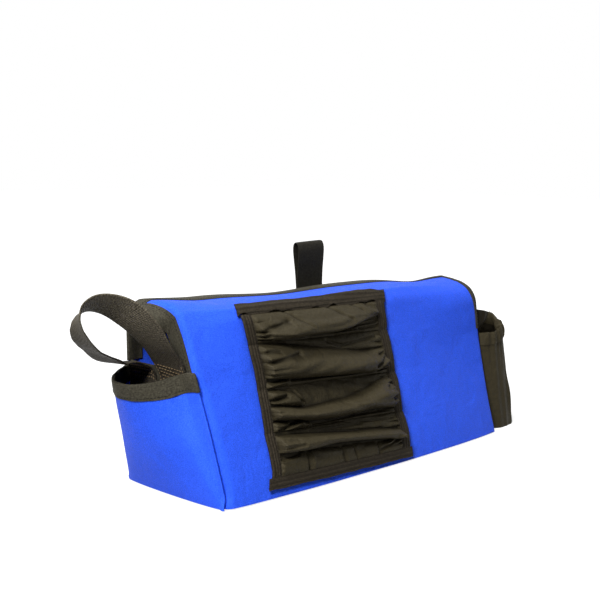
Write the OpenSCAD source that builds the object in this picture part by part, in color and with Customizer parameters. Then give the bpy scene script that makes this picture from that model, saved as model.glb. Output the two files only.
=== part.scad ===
// Sewn equipment caddy bag: a cloth body with a front panel that rolls over the top as a flap,
// four elastic-edged sleeves on the front, a pocket at each end, a webbing handle and a hanging loop.
// Millimetres. Origin at the centre of the base underside, +X to the gathered pocket, -Y to the
// sleeves, +Z up.

/* [Bag] */
// Length of the base
bag_length = 400; // [360:5:440]
// Depth of the base
bag_depth = 136; // [130:2:150]
// Thickness of the coated cloth with its lining
cloth = 2; // [1.6:0.1:2.2]
// Lean of the front panel from upright, degrees
front_lean = 16; // [14:1:17]
// Length of the straight, leaning part of the front panel
front_rise = 160; // [156:1:164]
// Radius of the shoulder where the front panel turns into the flap
shoulder_radius = 12; // [10:1:14]
// Depth of the flap from its fold to its rear edge
flap_depth = 56; // [45:1:60]
// Height of the back panel with its binding
back_height = 150; // [140:1:152]
// Height of the two end walls with their binding
end_height = 112; // [106:1:112]
// Thickness of the loose stiffening board on the base
board = 2; // [1.5:0.5:4]

/* [Binding] */
// Visible width of the folded binding tape
tape_width = 14; // [10:1:16]
// Thickness of one layer of binding tape
tape = 0.8; // [0.6:0.1:0.9]

/* [Sleeves] */
// Left edge of the sleeve panel
sleeve_left = -147; // [-160:1:-120]
// Width of the sleeve panel
sleeve_width = 198; // [160:2:210]
// Height of one sleeve along the front panel
sleeve_pitch = 40; // [36:1:40]
// How far a sleeve stands off its backing
sleeve_swell = 11; // [7:1:13]
// Thickness of the nylon cloth
nylon = 0.6; // [0.5:0.1:0.8]

/* [Pockets] */
// How far the left pocket bulges from the end wall at its rim
left_bulge = 33; // [28:1:36]
// Reach of the right pocket from the end wall at its base
right_reach_base = 61; // [54:1:64]
// Reach of the right pocket from the end wall at its rim
right_reach_rim = 45; // [40:1:50]
// Height of the right pocket's rim
right_rim = 110; // [104:1:116]

/* [Straps] */
// Width of the webbing and of the hanging loop's tape
webbing_width = 38; // [30:1:38]
// Thickness of the handle webbing
webbing = 2; // [1.4:0.1:2.2]
// Centre of the hanging loop along the back panel
loop_x = 42; // [-150:1:150]
// Height of the hanging loop above the back panel
loop_rise = 56; // [44:1:64]

/* [Hidden] */

blue = "royalblue";
black = "#3a342c";
nylon_black = "#2c2823";
thread_grey = "#5c5648";

half_length = bag_length / 2;
half_depth = bag_depth / 2;
half_cloth = cloth / 2;
inner_face = half_depth - cloth;
gap = 0.4;
thread = 0.4;
row_height = 0.8;

// ---- Front panel and flap in section -------------------------------------------------------------
// s runs up the middle of the cloth from its foot, n is the distance outwards from that middle line.
start_angle = 90 - front_lean;
arc_length = shoulder_radius * start_angle * PI / 180;
fold_s = front_rise + arc_length;
flap_end = fold_s + flap_depth;
front_foot = [-half_depth + half_cloth / cos(front_lean), cloth];

function front_angle(s) = s <= front_rise ? start_angle
    : max(0, start_angle - (s - front_rise) / shoulder_radius * 180 / PI);
function rise_end() = front_foot + front_rise * [cos(start_angle), sin(start_angle)];
function arc_centre() = rise_end() + shoulder_radius * [sin(start_angle), -cos(start_angle)];
function front_line(s) = s <= front_rise ? front_foot + s * [cos(start_angle), sin(start_angle)]
    : arc_centre() + shoulder_radius * [-sin(front_angle(s)), cos(front_angle(s))]
        + [max(0, s - fold_s), 0];
function front_point(s, n) = front_line(s) + n * [-sin(front_angle(s)), cos(front_angle(s))];

// The stations of a strip: its two ends and every eighth of the shoulder between them.
function stations(s0, s1) = concat([s0],
    [for (i = [0:8]) let (s = front_rise + i * arc_length / 8) if (s > s0 && s < s1) s], [s1]);

function reversed(list) = [for (i = [len(list) - 1:-1:0]) list[i]];

// Sweeps a section drawn in Y and Z along X.
module along_x(x0, x1) {
    translate([x0, 0, 0]) rotate([90, 0, 90]) linear_extrude(x1 - x0) children();
}

// A strip of cloth lying along the front panel between two distances from its middle line.
module front_strip(s0, s1, n0, n1, x0, x1) {
    steps = stations(s0, s1);
    along_x(x0, x1) polygon(concat([for (s = steps) front_point(s, n0)],
        [for (s = reversed(steps)) front_point(s, n1)]));
}

// A box given by its lowest and highest corners.
module block(low, high) {
    translate(low) cube(high - low);
}

// ---- Lofts ---------------------------------------------------------------------------------------
// A closed solid through rings of points, each ring with the same number of points. The end faces are
// the whole ring, or the convex pieces of it given in parts. Seen from the first ring, points go
// anticlockwise. Each side face is split along one diagonal, or along the other one if turned.
module loft(rings, parts = [], turned = false) {
    count = len(rings);
    size = len(rings[0]);
    points = [for (ring = rings) each ring];
    sides = [for (i = [0:count - 2], j = [0:size - 1])
        let (a = i * size + j, b = i * size + (j + 1) % size, c = a + size, d = b + size)
        each turned ? [[a, b, c], [b, d, c]] : [[a, b, d], [a, d, c]]];
    caps = len(parts) > 0 ? parts : [[for (j = [0:size - 1]) j]];
    cap_first = [for (cap = caps) reversed(cap)];
    cap_last = [for (cap = caps) [for (j = cap) (count - 1) * size + j]];
    polyhedron(points = points, faces = concat(cap_first, sides, cap_last), convexity = 8);
}

// Smooth curve through a list of points or vectors, at station i and fraction t.
function around(list, i) = i < 0 ? 2 * list[0] - list[1]
    : i >= len(list) ? 2 * list[len(list) - 1] - list[len(list) - 2] : list[i];
function curve_at(list, i, t) = let (p0 = around(list, i - 1), p1 = list[i],
        p2 = around(list, i + 1), p3 = around(list, i + 2))
    0.5 * (2 * p1 + (p2 - p0) * t + (2 * p0 - 5 * p1 + 4 * p2 - p3) * t * t
        + (3 * p1 - p0 - 3 * p2 + p3) * t * t * t);
function unit(v) = v / norm(v);

// The three convex parts of an eight-point ring that folds over an edge.
channel_parts = [[0, 1, 6, 7], [1, 2, 5, 6], [2, 3, 4, 5]];

// ---- Bag body ------------------------------------------------------------------------------------
module base_panel() {
    color(blue) block([-half_length, -half_depth, 0], [half_length, half_depth, cloth]);
}

module base_board() {
    clearance = 6;
    color("dimgray") block([-half_length + clearance, -half_depth + clearance, cloth],
        [half_length - clearance, half_depth - clearance, cloth + board]);
}

module front_panel() {
    foot = half_cloth * tan(front_lean) + 0.05;
    color(blue) front_strip(foot, fold_s - gap, -half_cloth, half_cloth, -half_length, half_length);
}

module back_panel() {
    color(blue) block([-half_length, inner_face, cloth], [half_length, half_depth, back_height - tape]);
}

// The outline of an end wall between two heights, from the front panel's inner face to the back's.
module end_outline(z0, z1) {
    front_y = function (z) front_foot[0] + (z - cloth) * tan(front_lean) + half_cloth / cos(front_lean);
    polygon([[front_y(z0), z0], [inner_face, z0], [inner_face, z1], [front_y(z1), z1]]);
}

module end_plate(x0, x1, z0, z1) {
    along_x(x0, x1) end_outline(z0, z1);
}

module left_end_wall() {
    color(blue) end_plate(-half_length, -half_length + cloth, cloth, end_height - tape);
}

module right_end_wall() {
    color(blue) end_plate(half_length - cloth, half_length, cloth, end_height - tape);
}

// Tape over the seam allowance all round the bottom inside edge.
module base_seam_tape() {
    height = 9;
    inner_x = half_length - cloth;
    color(black) union() {
        front_strip(1, height, -half_cloth - tape, -half_cloth, -inner_x, inner_x);
        block([-inner_x, inner_face - tape, cloth], [inner_x, inner_face, cloth + height]);
        end_plate(-inner_x, -inner_x + tape, cloth, cloth + height);
        end_plate(inner_x - tape, inner_x, cloth, cloth + height);
    }
}

// Four strips of tape over the upright corner seams, standing on the base seam tape.
module corner_seam_tapes() {
    strip = 10;
    foot = 14;
    head = end_height - tape_width - 4;
    inner_x = half_length - cloth;
    color(black) for (x = [-inner_x, inner_x - tape]) {
        front_strip(foot, head, -half_cloth - strip, -half_cloth, x, x + tape);
        block([x, inner_face - strip, foot], [x + tape, inner_face, head]);
    }
}

// ---- Bindings ------------------------------------------------------------------------------------
// Tape folded round a side edge of the front panel or flap, on the left for -1 and the right for 1.
module side_binding(side, s0, s1) {
    edge = half_length;
    for (n0 = [half_cloth, -half_cloth - tape])
        front_strip(s0, s1, n0, n0 + tape, side > 0 ? edge - tape_width : -edge,
            side > 0 ? edge : -edge + tape_width);
    front_strip(s0, s1, -half_cloth - tape, half_cloth + tape, side > 0 ? edge : -edge - tape,
        side > 0 ? edge + tape : -edge);
}

binding_foot = end_height + 4;

module front_binding_left() {
    color(black) side_binding(-1, binding_foot, fold_s - gap);
}

module front_binding_right() {
    color(black) side_binding(1, binding_foot, fold_s - gap);
}

module back_binding() {
    edge = half_length;
    foot = end_height + 2;
    color(black) difference() {
        block([-edge - tape, inner_face - tape, foot], [edge + tape, half_depth + tape, back_height]);
        block([-edge, inner_face, foot - 1], [edge, half_depth, back_height - tape]);
        block([-edge + tape_width, inner_face - cloth, foot - 1],
            [edge - tape_width, half_depth + cloth, back_height - tape_width]);
    }
}

module wall_binding(x0) {
    foot = end_height - tape_width;
    difference() {
        end_plate(x0 - tape, x0 + cloth + tape, foot, end_height);
        end_plate(x0, x0 + cloth, foot - 1, end_height - tape);
    }
}

module left_wall_binding() {
    color(black) wall_binding(-half_length);
}

module right_wall_binding() {
    color(black) wall_binding(half_length - cloth);
}

// ---- Flap ----------------------------------------------------------------------------------------
module top_flap() {
    color(blue) front_strip(fold_s + gap, flap_end, -half_cloth, half_cloth, -half_length, half_length);
}

module flap_binding() {
    color(black) union() {
        for (side = [-1, 1]) side_binding(side, fold_s + gap, flap_end);
        for (n0 = [half_cloth, -half_cloth - tape])
            front_strip(flap_end - tape_width, flap_end, n0, n0 + tape, -half_length, half_length);
        front_strip(flap_end, flap_end + tape, -half_cloth - tape, half_cloth + tape,
            -half_length - tape, half_length + tape);
    }
}

// ---- Left pocket ---------------------------------------------------------------------------------
left_front_y = -36;
left_back_y = half_depth - 3;
left_steps = 20;
pocket_wall_gap = 1.8;
left_rim_foot = 0.86;

// Rim height falls from the front corner to the back one.
function left_rim(y) = end_height - 14 * (y - left_front_y) / (left_back_y - left_front_y);
// The bulge is fullest behind the middle, and dies away to the base.
function left_out(y, z) = let (t = (y - left_front_y) / (left_back_y - left_front_y))
    left_bulge * pow(max(0, sin(180 * pow(t, 1.7))), 0.9) * pow(z / end_height, 0.7);
function left_point(t, u, inset) = let (y = left_front_y + t * (left_back_y - left_front_y),
        z = u * left_rim(y),
        foot_y = -half_depth + 3,
        spread = (1 - u) * (left_front_y - foot_y) * (1 - t))
    [-half_length - pocket_wall_gap - left_out(y, z) - cloth + inset, y - spread, z];

module left_pocket_panel() {
    rows = 6;
    foot = 0.02;
    levels = concat([for (j = [0:rows]) foot + (left_rim_foot - foot) * j / rows], [1]);
    rings = [for (i = [0:left_steps]) let (t = i / left_steps)
        concat([for (u = levels) left_point(t, u, cloth)],
            [for (u = reversed(levels)) left_point(t, u, 0)])];
    color(blue) loft(rings);
}

// Folded tape over the rim: outer leg, top and inner leg in one. Its rings run round the rim the other
// way than the panel's, so its faces are turned to lie along the panel's.
module left_pocket_binding() {
    foot = left_rim_foot;
    sink = 0.3;
    lift = [0, 0, tape];
    clear = [0, 0, sink / 2];
    rings = [for (i = [0:left_steps]) let (t = i / left_steps)
        [left_point(t, foot, cloth + tape), left_point(t, 1, cloth + tape) + lift,
            left_point(t, 1, -tape) + lift, left_point(t, foot, -tape), left_point(t, foot, -sink),
            left_point(t, 1, -sink) + clear, left_point(t, 1, cloth + sink) + clear,
            left_point(t, foot, cloth + sink)]];
    color(black) loft(rings, channel_parts, true);
}

// ---- Right pocket --------------------------------------------------------------------------------
right_x = half_length + tape + 0.1;
right_centre_y = 7;
right_half_base = 57;
right_half_rim = 47;
corner_power = 0.4;
casing_foot = right_rim - 16;

// Half width, reach and centre of the pocket in plan at a height.
function along(z, base, rim) = base + (rim - base) * z / right_rim;
function signed_power(v, p) = sign(v) * pow(abs(v), p);
function right_point(angle, z, inset) = [
    right_x + (along(z, right_reach_base, right_reach_rim) - inset) * signed_power(sin(angle), corner_power),
    along(z, 0, right_centre_y) - (along(z, right_half_base, right_half_rim) - inset)
        * signed_power(cos(angle), corner_power), z];

// Closer stations where the outline turns its corners.
function right_angles() = [for (i = [0:28]) let (t = i / 28 * 2 - 1) 90 + 90 * signed_power(t, 0.75)];

// A band round the pocket between two heights and two insets.
module right_band(z0, z1, inset0, inset1) {
    loft([for (a = right_angles()) [right_point(a, z0, inset0), right_point(a, z1, inset0),
        right_point(a, z1, inset1), right_point(a, z0, inset1)]]);
}

module right_pocket_wrap() {
    color(nylon_black) right_band(nylon, casing_foot + 3, 0, nylon);
}

module right_pocket_base() {
    outline = [for (a = right_angles()) let (p = right_point(a, 0, 0)) [p[0], p[1]]];
    color(nylon_black) linear_extrude(nylon) polygon(outline);
}

// The hem at the rim: an upside-down channel over the wrap's edge, with the elastic inside it.
module right_pocket_casing() {
    hem = 0.8;
    play = 0.02;
    color(nylon_black) loft([for (a = right_angles()) [right_point(a, casing_foot, -hem),
        right_point(a, right_rim, -hem), right_point(a, right_rim, 1 + hem),
        right_point(a, casing_foot, 1 + hem), right_point(a, casing_foot, 1 + play),
        right_point(a, right_rim - hem, 1 + play), right_point(a, right_rim - hem, -play),
        right_point(a, casing_foot, -play)]], channel_parts);
}

module right_pocket_elastic() {
    color("white") right_band(casing_foot + 3.5, right_rim - 1.2, 0.15, 0.85);
}

// The nylon layer on the end wall that stands up behind the pocket's mouth and leans outwards.
module right_pocket_facing() {
    foot = 60;
    bend = end_height + 1;
    top = right_rim + 18;
    lean_out = 9;
    layer = 1;
    front_y = -34;
    back_y = 42;
    x0 = right_x + 0.1;
    color(nylon_black) translate([0, back_y, 0]) rotate([90, 0, 0]) linear_extrude(back_y - front_y)
        polygon([[x0, foot], [x0 + layer, foot], [x0 + layer, bend], [x0 + layer + lean_out, top],
            [x0 + lean_out, top], [x0, bend]]);
}

// ---- Sleeves -------------------------------------------------------------------------------------
first_seam = 12;
top_tape_foot = front_rise;
panel_foot = 4;
panel_head = front_rise + 10;
sleeve_right = sleeve_left + sleeve_width;
edge_tape_width = 15;
seams = [first_seam, first_seam + sleeve_pitch, first_seam + 2 * sleeve_pitch,
    first_seam + 3 * sleeve_pitch, top_tape_foot];
backing_face = half_cloth + nylon;
seam_margin = 1.5;
end_tape = 1.2;

// How far the cloth of a sleeve stands off the backing at fraction u of its height.
function swell(u) = sleeve_swell * pow(max(0, sin(180 * u)), 0.7);
// Points up one sleeve, at a distance off the backing.
function sleeve_side(k, lift) = let (s0 = seams[k] + seam_margin, s1 = seams[k + 1] - seam_margin)
    concat([front_point(seams[k], backing_face + lift)],
        [for (i = [0:12]) let (u = (1 - cos(180 * i / 12)) / 2)
            front_point(s0 + u * (s1 - s0), backing_face + lift + swell(u))],
        [front_point(seams[k + 1], backing_face + lift)]);

module sleeve_backing() {
    color(nylon_black)
        front_strip(panel_foot, panel_head, half_cloth, backing_face, sleeve_left, sleeve_right);
}

// Sleeves are counted from the top.
module sleeve(number) {
    k = 4 - number;
    color(nylon_black) along_x(sleeve_left, sleeve_right)
        polygon(concat(sleeve_side(k, 0), reversed(sleeve_side(k, nylon))));
}

module sleeve_1() { sleeve(1); }
module sleeve_2() { sleeve(2); }
module sleeve_3() { sleeve(3); }
module sleeve_4() { sleeve(4); }

module sleeve_seam_stitches() {
    face = backing_face + nylon;
    half_row = 0.6;
    color(thread_grey) for (k = [1:3])
        front_strip(seams[k] - half_row, seams[k] + half_row, face, face + thread,
            sleeve_left + edge_tape_width, sleeve_right - edge_tape_width);
}

// Elastic-cored tape sewn to one side edge of all four sleeves, so it waves in and out with them.
module edge_tape(x0) {
    thickness = 0.9;
    outer = [for (k = [0:3]) each sleeve_side(k, nylon + thickness)];
    inner = [for (k = [0:3]) each sleeve_side(k, nylon)];
    color(black) along_x(x0, x0 + edge_tape_width) polygon(concat(inner, reversed(outer)));
}

module sleeve_edge_tape_left() { edge_tape(sleeve_left); }
module sleeve_edge_tape_right() { edge_tape(sleeve_right - edge_tape_width); }

module sleeve_top_tape() {
    color(black) front_strip(top_tape_foot, panel_head, backing_face, backing_face + end_tape,
        sleeve_left, sleeve_right);
}

module sleeve_bottom_tape() {
    color(black) front_strip(panel_foot, first_seam, backing_face, backing_face + end_tape,
        sleeve_left, sleeve_right);
}

// ---- Handle --------------------------------------------------------------------------------------
tab_height = 24;
tab_x = -half_length - tape - webbing;
tab_front_y = -3;
tab_back_y = 40;

module tab(y) {
    color(black) block([tab_x, y - webbing_width / 2, end_height - tab_height],
        [tab_x + webbing, y + webbing_width / 2, end_height - gap]);
}

module handle_tab_front() { tab(tab_front_y); }
module handle_tab_back() { tab(tab_back_y); }

// Five rows of stitching across each sewn end.
module handle_stitches() {
    half_row = webbing_width / 2 - 3;
    spacing = 3;
    top_row = end_height - 5;
    color(thread_grey) for (y = [tab_front_y, tab_back_y], row = [0:4])
        let (z = top_row - spacing * row)
            block([tab_x - thread, y - half_row, z], [tab_x, y + half_row, z + row_height]);
}

// Route of the webbing's middle and the direction across it, from the front tab round to the back one.
tip_x = tab_x - webbing / 2 - 0.3;
handle_route = [[tip_x, -3, end_height + 0.6], [-206.1, -3, 115.3], [-214.3, -3.3, 127.8],
    [-226.4, -2.6, 144.2], [-238.9, 0.6, 159.7], [-251.5, 6, 169.8], [-264.2, 13.3, 174.8],
    [-276.4, 20.1, 171.1], [-281.5, 22.4, 160.1], [-279.2, 22.8, 148.6], [-270.8, 25, 138],
    [-257.5, 30.7, 131], [-240.3, 38.5, 121], [-220, 40, 114.5], [tip_x, 40, end_height + 0.6]];
handle_across = [[0, 1, 0], [-0.02, 1, 0], [-0.08, 1, -0.04], [-0.09, 0.98, -0.18],
    [-0.1, 0.92, -0.39], [0.1, 0.83, -0.55], [0.39, 0.75, -0.53], [0.61, 0.74, -0.27],
    [0.44, 0.9, 0.01], [0.15, 0.98, 0.14], [-0.14, 0.96, 0.23], [-0.36, 0.9, 0.24],
    [-0.25, 0.95, 0.1], [0.1, 0.98, -0.08], [0, 1, 0]];

function strap_ring(i, t) = let (p = curve_at(handle_route, i, t), w = curve_at(handle_across, i, t),
        ahead = t < 1 ? curve_at(handle_route, i, min(1, t + 0.05)) - p : p - curve_at(handle_route, i, 0.95),
        along_strap = unit(ahead),
        across = unit(w - (w * along_strap) * along_strap) * webbing_width / 2,
        face = unit(cross(along_strap, across)) * webbing / 2)
    [p + across + face, p + across - face, p - across - face, p - across + face];

module handle_webbing() {
    last = len(handle_route) - 2;
    rings = concat([for (i = [0:last], t = [0:3]) strap_ring(i, t / 4)], [strap_ring(last, 1)]);
    color(black) loft(rings);
}

// ---- Hanging loop --------------------------------------------------------------------------------
loop_tape = 1.2;
loop_tab_face = half_depth + tape + loop_tape;
loop_y = loop_tab_face + loop_tape + 0.1;
loop_foot = back_height + 2;
loop_bow = 4.8;

module hang_loop_tab() {
    color(black) block([loop_x - webbing_width / 2, half_depth + tape, back_height - 22],
        [loop_x + webbing_width / 2, loop_tab_face, back_height + 0.8]);
}

// Four rows of stitching across the loop's sewn ends.
module hang_loop_stitches() {
    half_row = webbing_width / 2 - 4;
    spacing = 4;
    color(thread_grey) for (row = [1:4]) let (z = back_height - spacing * row)
        block([loop_x - half_row, loop_tab_face, z],
            [loop_x + half_row, loop_tab_face + thread, z + row_height]);
}

// Half the loop's thickness at a height above its foot: pinched at the foot and opening upwards.
function loop_half(h) = let (t = min(1, max(0, (h - 6) / 36)))
    loop_tape + (loop_bow - loop_tape) * t * t * (3 - 2 * t);

module hang_loop() {
    heights = [for (i = [0:10]) i * (loop_rise - loop_bow) / 10];
    crown = loop_rise - loop_bow;
    outer = concat([for (h = heights) [loop_half(h), h]],
        [for (a = [15:15:165]) [loop_bow * cos(a), crown + loop_bow * sin(a)]],
        [for (i = [10:-1:0]) [-loop_half(heights[i]), heights[i]]]);
    inner = concat([for (h = heights) if (h > 8) [loop_half(h) - loop_tape, h]],
        [for (a = [15:15:165]) [(loop_bow - loop_tape) * cos(a), crown + (loop_bow - loop_tape) * sin(a)]],
        [for (i = [10:-1:0]) if (heights[i] > 8) [loop_tape - loop_half(heights[i]), heights[i]]]);
    color(black) translate([0, loop_y, loop_foot]) along_x(loop_x - webbing_width / 2,
            loop_x + webbing_width / 2) difference() {
        polygon(outer);
        polygon(inner);
    }
}

base_panel();
base_board();
front_panel();
back_panel();
left_end_wall();
right_end_wall();
base_seam_tape();
corner_seam_tapes();
front_binding_left();
front_binding_right();
back_binding();
left_wall_binding();
right_wall_binding();
top_flap();
flap_binding();
left_pocket_panel();
left_pocket_binding();
right_pocket_wrap();
right_pocket_base();
right_pocket_casing();
right_pocket_elastic();
right_pocket_facing();
sleeve_backing();
sleeve_1();
sleeve_2();
sleeve_3();
sleeve_4();
sleeve_seam_stitches();
sleeve_edge_tape_left();
sleeve_edge_tape_right();
sleeve_top_tape();
sleeve_bottom_tape();
handle_tab_front();
handle_tab_back();
handle_stitches();
handle_webbing();
hang_loop_tab();
hang_loop_stitches();
hang_loop();
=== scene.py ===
from functools import partial
from math import pi, radians

import bpy
import numpy as np
from mathutils import Matrix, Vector
from numpy import array, clip, concatenate, cos, cross, exp, linspace, sin, where


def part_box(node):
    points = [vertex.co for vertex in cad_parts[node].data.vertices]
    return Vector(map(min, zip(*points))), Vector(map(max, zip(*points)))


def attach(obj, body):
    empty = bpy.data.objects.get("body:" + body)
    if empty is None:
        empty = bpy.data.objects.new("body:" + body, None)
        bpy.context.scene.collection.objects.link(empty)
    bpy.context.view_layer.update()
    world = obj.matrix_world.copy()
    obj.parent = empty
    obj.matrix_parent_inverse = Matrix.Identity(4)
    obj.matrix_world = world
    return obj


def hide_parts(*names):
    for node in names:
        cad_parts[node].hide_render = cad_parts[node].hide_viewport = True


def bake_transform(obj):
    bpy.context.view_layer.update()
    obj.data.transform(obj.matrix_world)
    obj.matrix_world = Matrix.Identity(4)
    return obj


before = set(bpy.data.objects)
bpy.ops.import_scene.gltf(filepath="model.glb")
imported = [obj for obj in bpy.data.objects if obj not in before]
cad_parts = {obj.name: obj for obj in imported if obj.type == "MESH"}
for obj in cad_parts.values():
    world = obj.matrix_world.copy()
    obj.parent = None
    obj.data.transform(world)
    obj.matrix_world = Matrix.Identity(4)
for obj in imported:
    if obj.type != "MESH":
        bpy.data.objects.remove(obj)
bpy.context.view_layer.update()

# ---- Front panel and flap ----
# One lined piece of coated polyester, sewn to the base and both end walls. It leans back, turns
# over a soft shoulder and lies loose over the mouth as the flap. Above the walls its side edges are
# free and curl round the ends. All lengths are millimetres until a mesh is made.


def through(knots, values, at):
    """Smooth curve through values at knots: a cubic between each two, whose slope at a knot is the
    mean of the straight slopes on its two sides."""
    knots, values, at = (np.asarray(a, float) for a in (knots, values, at))
    step = np.diff(knots)
    slope = np.diff(values, axis=0) / step.reshape((-1,) + (1,) * (values.ndim - 1))
    tangent = concatenate([slope[:1], (slope[1:] + slope[:-1]) / 2, slope[-1:]])
    i = clip(np.searchsorted(knots, at, side="right") - 1, 0, len(step) - 1)
    spread = at.shape + (1,) * (values.ndim - 1)
    h = step[i].reshape(spread)
    t = ((at - knots[i]) / step[i]).reshape(spread)
    return ((1 + 2 * t) * (1 - t) ** 2 * values[i] + t * (1 - t) ** 2 * h * tangent[i]
            + t * t * (3 - 2 * t) * values[i + 1] + t * t * (t - 1) * h * tangent[i + 1])


def ease(a, b, x):
    """Smooth step from 0 at a to 1 at b: 3t^2 - 2t^3 of the fraction t of the way."""
    t = clip((x - a) / (b - a), 0, 1)
    return t * t * (3 - 2 * t)


def bump(x, centre, width):
    """Bell curve, 1 at its centre: e to the minus square of the distance over the width."""
    return exp(-(((x - centre) / width) ** 2))


def bow(x, half):
    """Rounded bow between -half and half: the root of 1 minus the square of x over half."""
    return np.sqrt(clip(1 - (x / half) ** 2, 0, 1))


def arrays(*values):
    """The values as number arrays of one common shape."""
    return np.broadcast_arrays(*(np.asarray(value, float) for value in values))


def columns(*values):
    """Points, or places on the flat cloth, from their coordinates."""
    return np.stack(np.broadcast_arrays(*values), -1)


def grid(u, v):
    """Two tables with every pair of u, which changes from row to row, and v."""
    return np.meshgrid(u, v, indexing="ij")


def unit(vectors):
    """The vectors divided by their lengths."""
    return vectors / np.linalg.norm(vectors, axis=-1, keepdims=True)


CLOTH_UP = array([0, 34, 70, 105, 130, 146, 158, 170, 184, 205, 231.5])
MIDDLE_YZ = array(
    [(-67, 1), (-57.6, 34.7), (-47.7, 69.3), (-38, 102.9), (-31.1, 127), (-26.7, 142.3),
     (-23, 154), (-15.5, 162.3), (-3, 165), (18, 164.6), (44, 164)], float)
LEFT_YZ = array(
    [(-67.5, 1), (-58.5, 33), (-48, 68), (-35, 102), (-26, 126.2), (-19.5, 141.6), (-14, 152.3),
     (-7.3, 162), (5, 168.4), (25.8, 169.8), (51.5, 167)], float)
RIGHT_YZ = array(
    [(-66.5, 1), (-57, 34), (-47.5, 70), (-38.5, 105), (-34.5, 130), (-31.5, 145), (-25, 154.5),
     (-14.5, 160), (-5, 162.3), (5, 164), (14, 164.7)], float)
CLOTH_HALF = 0.8
FLAP_END = 231.5
WALL_TOP = 112.0
HALF_LONG = 200.0
BOTH_FACES = (CLOTH_HALF, -CLOTH_HALF)
CORNER_AT, CORNER_ROUND = 195, 5


def corner_of(s, left):
    """Where across the front cloth it starts to turn round the end, and the radius of that turn.
    Low on the left it rolls in to the corner seam, which slants from the base corner; on the right
    it narrows by a few millimetres to the base."""
    low = (1 - ease(104, 118, s)) * (1.0 if left else 0.0)
    seam = 195.2 + 3.4 * clip(s, 0, 110) / 110 + 4.5 * (1 - ease(0, 13, s))
    narrower = 0 if left else 4.2 * (1 - ease(0, 110, s))
    return CORNER_AT + low * (seam - 203) - narrower, CORNER_ROUND + 3 * low


def front_profile(x, s):
    """Point of the front cloth's middle at x along the bag and s up the cloth: three measured
    sections mixed by how near each end is, then a belly low down, dips and a lift at the flap's
    rear edge, a faint ridge on the shoulder and a few slow waves."""
    y_z = [through(CLOTH_UP, section, s) for section in (LEFT_YZ, MIDDLE_YZ, RIGHT_YZ)]
    near_left = (1 - ease(-200, -140, x))[..., None]
    near_right = ease(75, 200, x)[..., None]
    point = near_left * y_z[0] + near_right * y_z[2] + (1 - near_left - near_right) * y_z[1]
    y, z = point[..., 0], point[..., 1]
    flap = clip((s - 172) / 60, 0, 1)
    y = y - 10 * bow(x, HALF_LONG) * exp(-((clip(s, 0, 300) / 62) ** 2))
    wave = 0.9 * sin(x / 41 + 0.6) * sin(s / 47 + 0.4) + 0.5 * sin(x / 17 + s / 38)
    y = y - wave * bump(s, 90, 80)
    z = z - flap ** 1.5 * (3.6 * bump(x, -20, 60) + 6 * bump(x, 148, 28))
    z = z + 0.8 * flap * sin(x / 23 + 1.1)
    z = z + 1.3 * ease(212, 231, s) * (1 - 0.6 * ease(60, 160, x))
    ridge = 1.5 * bump(s, 167 + 3 * sin(x / 47), 2.8)
    return columns(x, y, z + ridge * ease(200, 60, np.abs(x + 40) * 0.8))


def curl(s, left):
    """How far the free side edge turns round the end, in radians: a quarter turn beside the end
    walls and over the shoulder, dying away along the flap."""
    end = 0.25 if left else 0.5
    return pi / 2 * (1 - (1 - end) * ease(168, 208, s))


def front_point(p, s):
    """Middle of the front cloth, p across it from the centre and s up it. Past the corner's start
    it runs round the corner, by at most the curl there, and then straight on."""
    p, s = arrays(p, s)
    starts, corner = (where(p < 0, *two) for two in zip(corner_of(s, True), corner_of(s, False)))
    x = clip(p, -starts, starts)
    ahead = front_profile(x, s + 0.5) - front_profile(x, s - 0.5)
    inward = unit(columns(0 * x, ahead[..., 2], -ahead[..., 1] * ease(-5, 40, s)))
    most = where(p < 0, curl(s, True), curl(s, False))
    past = np.abs(p) - starts
    angle = clip(past / corner, 0, most)
    straight = clip(past - corner * most, 0, None)
    out = corner * sin(angle) + straight * cos(angle)
    back = corner * (1 - cos(angle)) + straight * sin(angle)
    return (front_profile(x, s) + inward * back[..., None]
            + columns(np.sign(p) * out, 0, 0))


TABLE_P, TABLE_S = np.arange(-222, 223, 1.0), np.arange(-4, 237, 1.0)
front_table = front_point(*grid(TABLE_P, TABLE_S))
front_normals = unit(cross(np.gradient(front_table, axis=0), np.gradient(front_table, axis=1)))


def on_front(p, s, off=0.0):
    """Point off in front of the middle of the front cloth: the four nearest points of the table
    mixed by area, plus off times the unit normal mixed in the same way."""
    p, s, off = arrays(p, s, off)
    i = clip(np.floor(p - TABLE_P[0]).astype(int), 0, len(TABLE_P) - 2)
    j = clip(np.floor(s - TABLE_S[0]).astype(int), 0, len(TABLE_S) - 2)
    a, b = (p - TABLE_P[i])[..., None], (s - TABLE_S[j])[..., None]
    place, normal = (
        table[i, j] * (1 - a) * (1 - b) + table[i + 1, j] * a * (1 - b)
        + table[i, j + 1] * (1 - a) * b + table[i + 1, j + 1] * a * b
        for table in (front_table, front_normals))
    return place + off[..., None] * unit(normal)


def grid_faces(rows, across, start=0, closed=False):
    """Quads of a grid of points numbered row by row; closed joins its last column to its first."""
    i, j = grid(np.arange(rows - 1), np.arange(across if closed else across - 1))
    this, after = i * across, (j + 1) % across
    quads = np.stack([this + j, this + after, this + across + after, this + across + j], -1)
    return start + quads.reshape(-1, 4)


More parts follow.
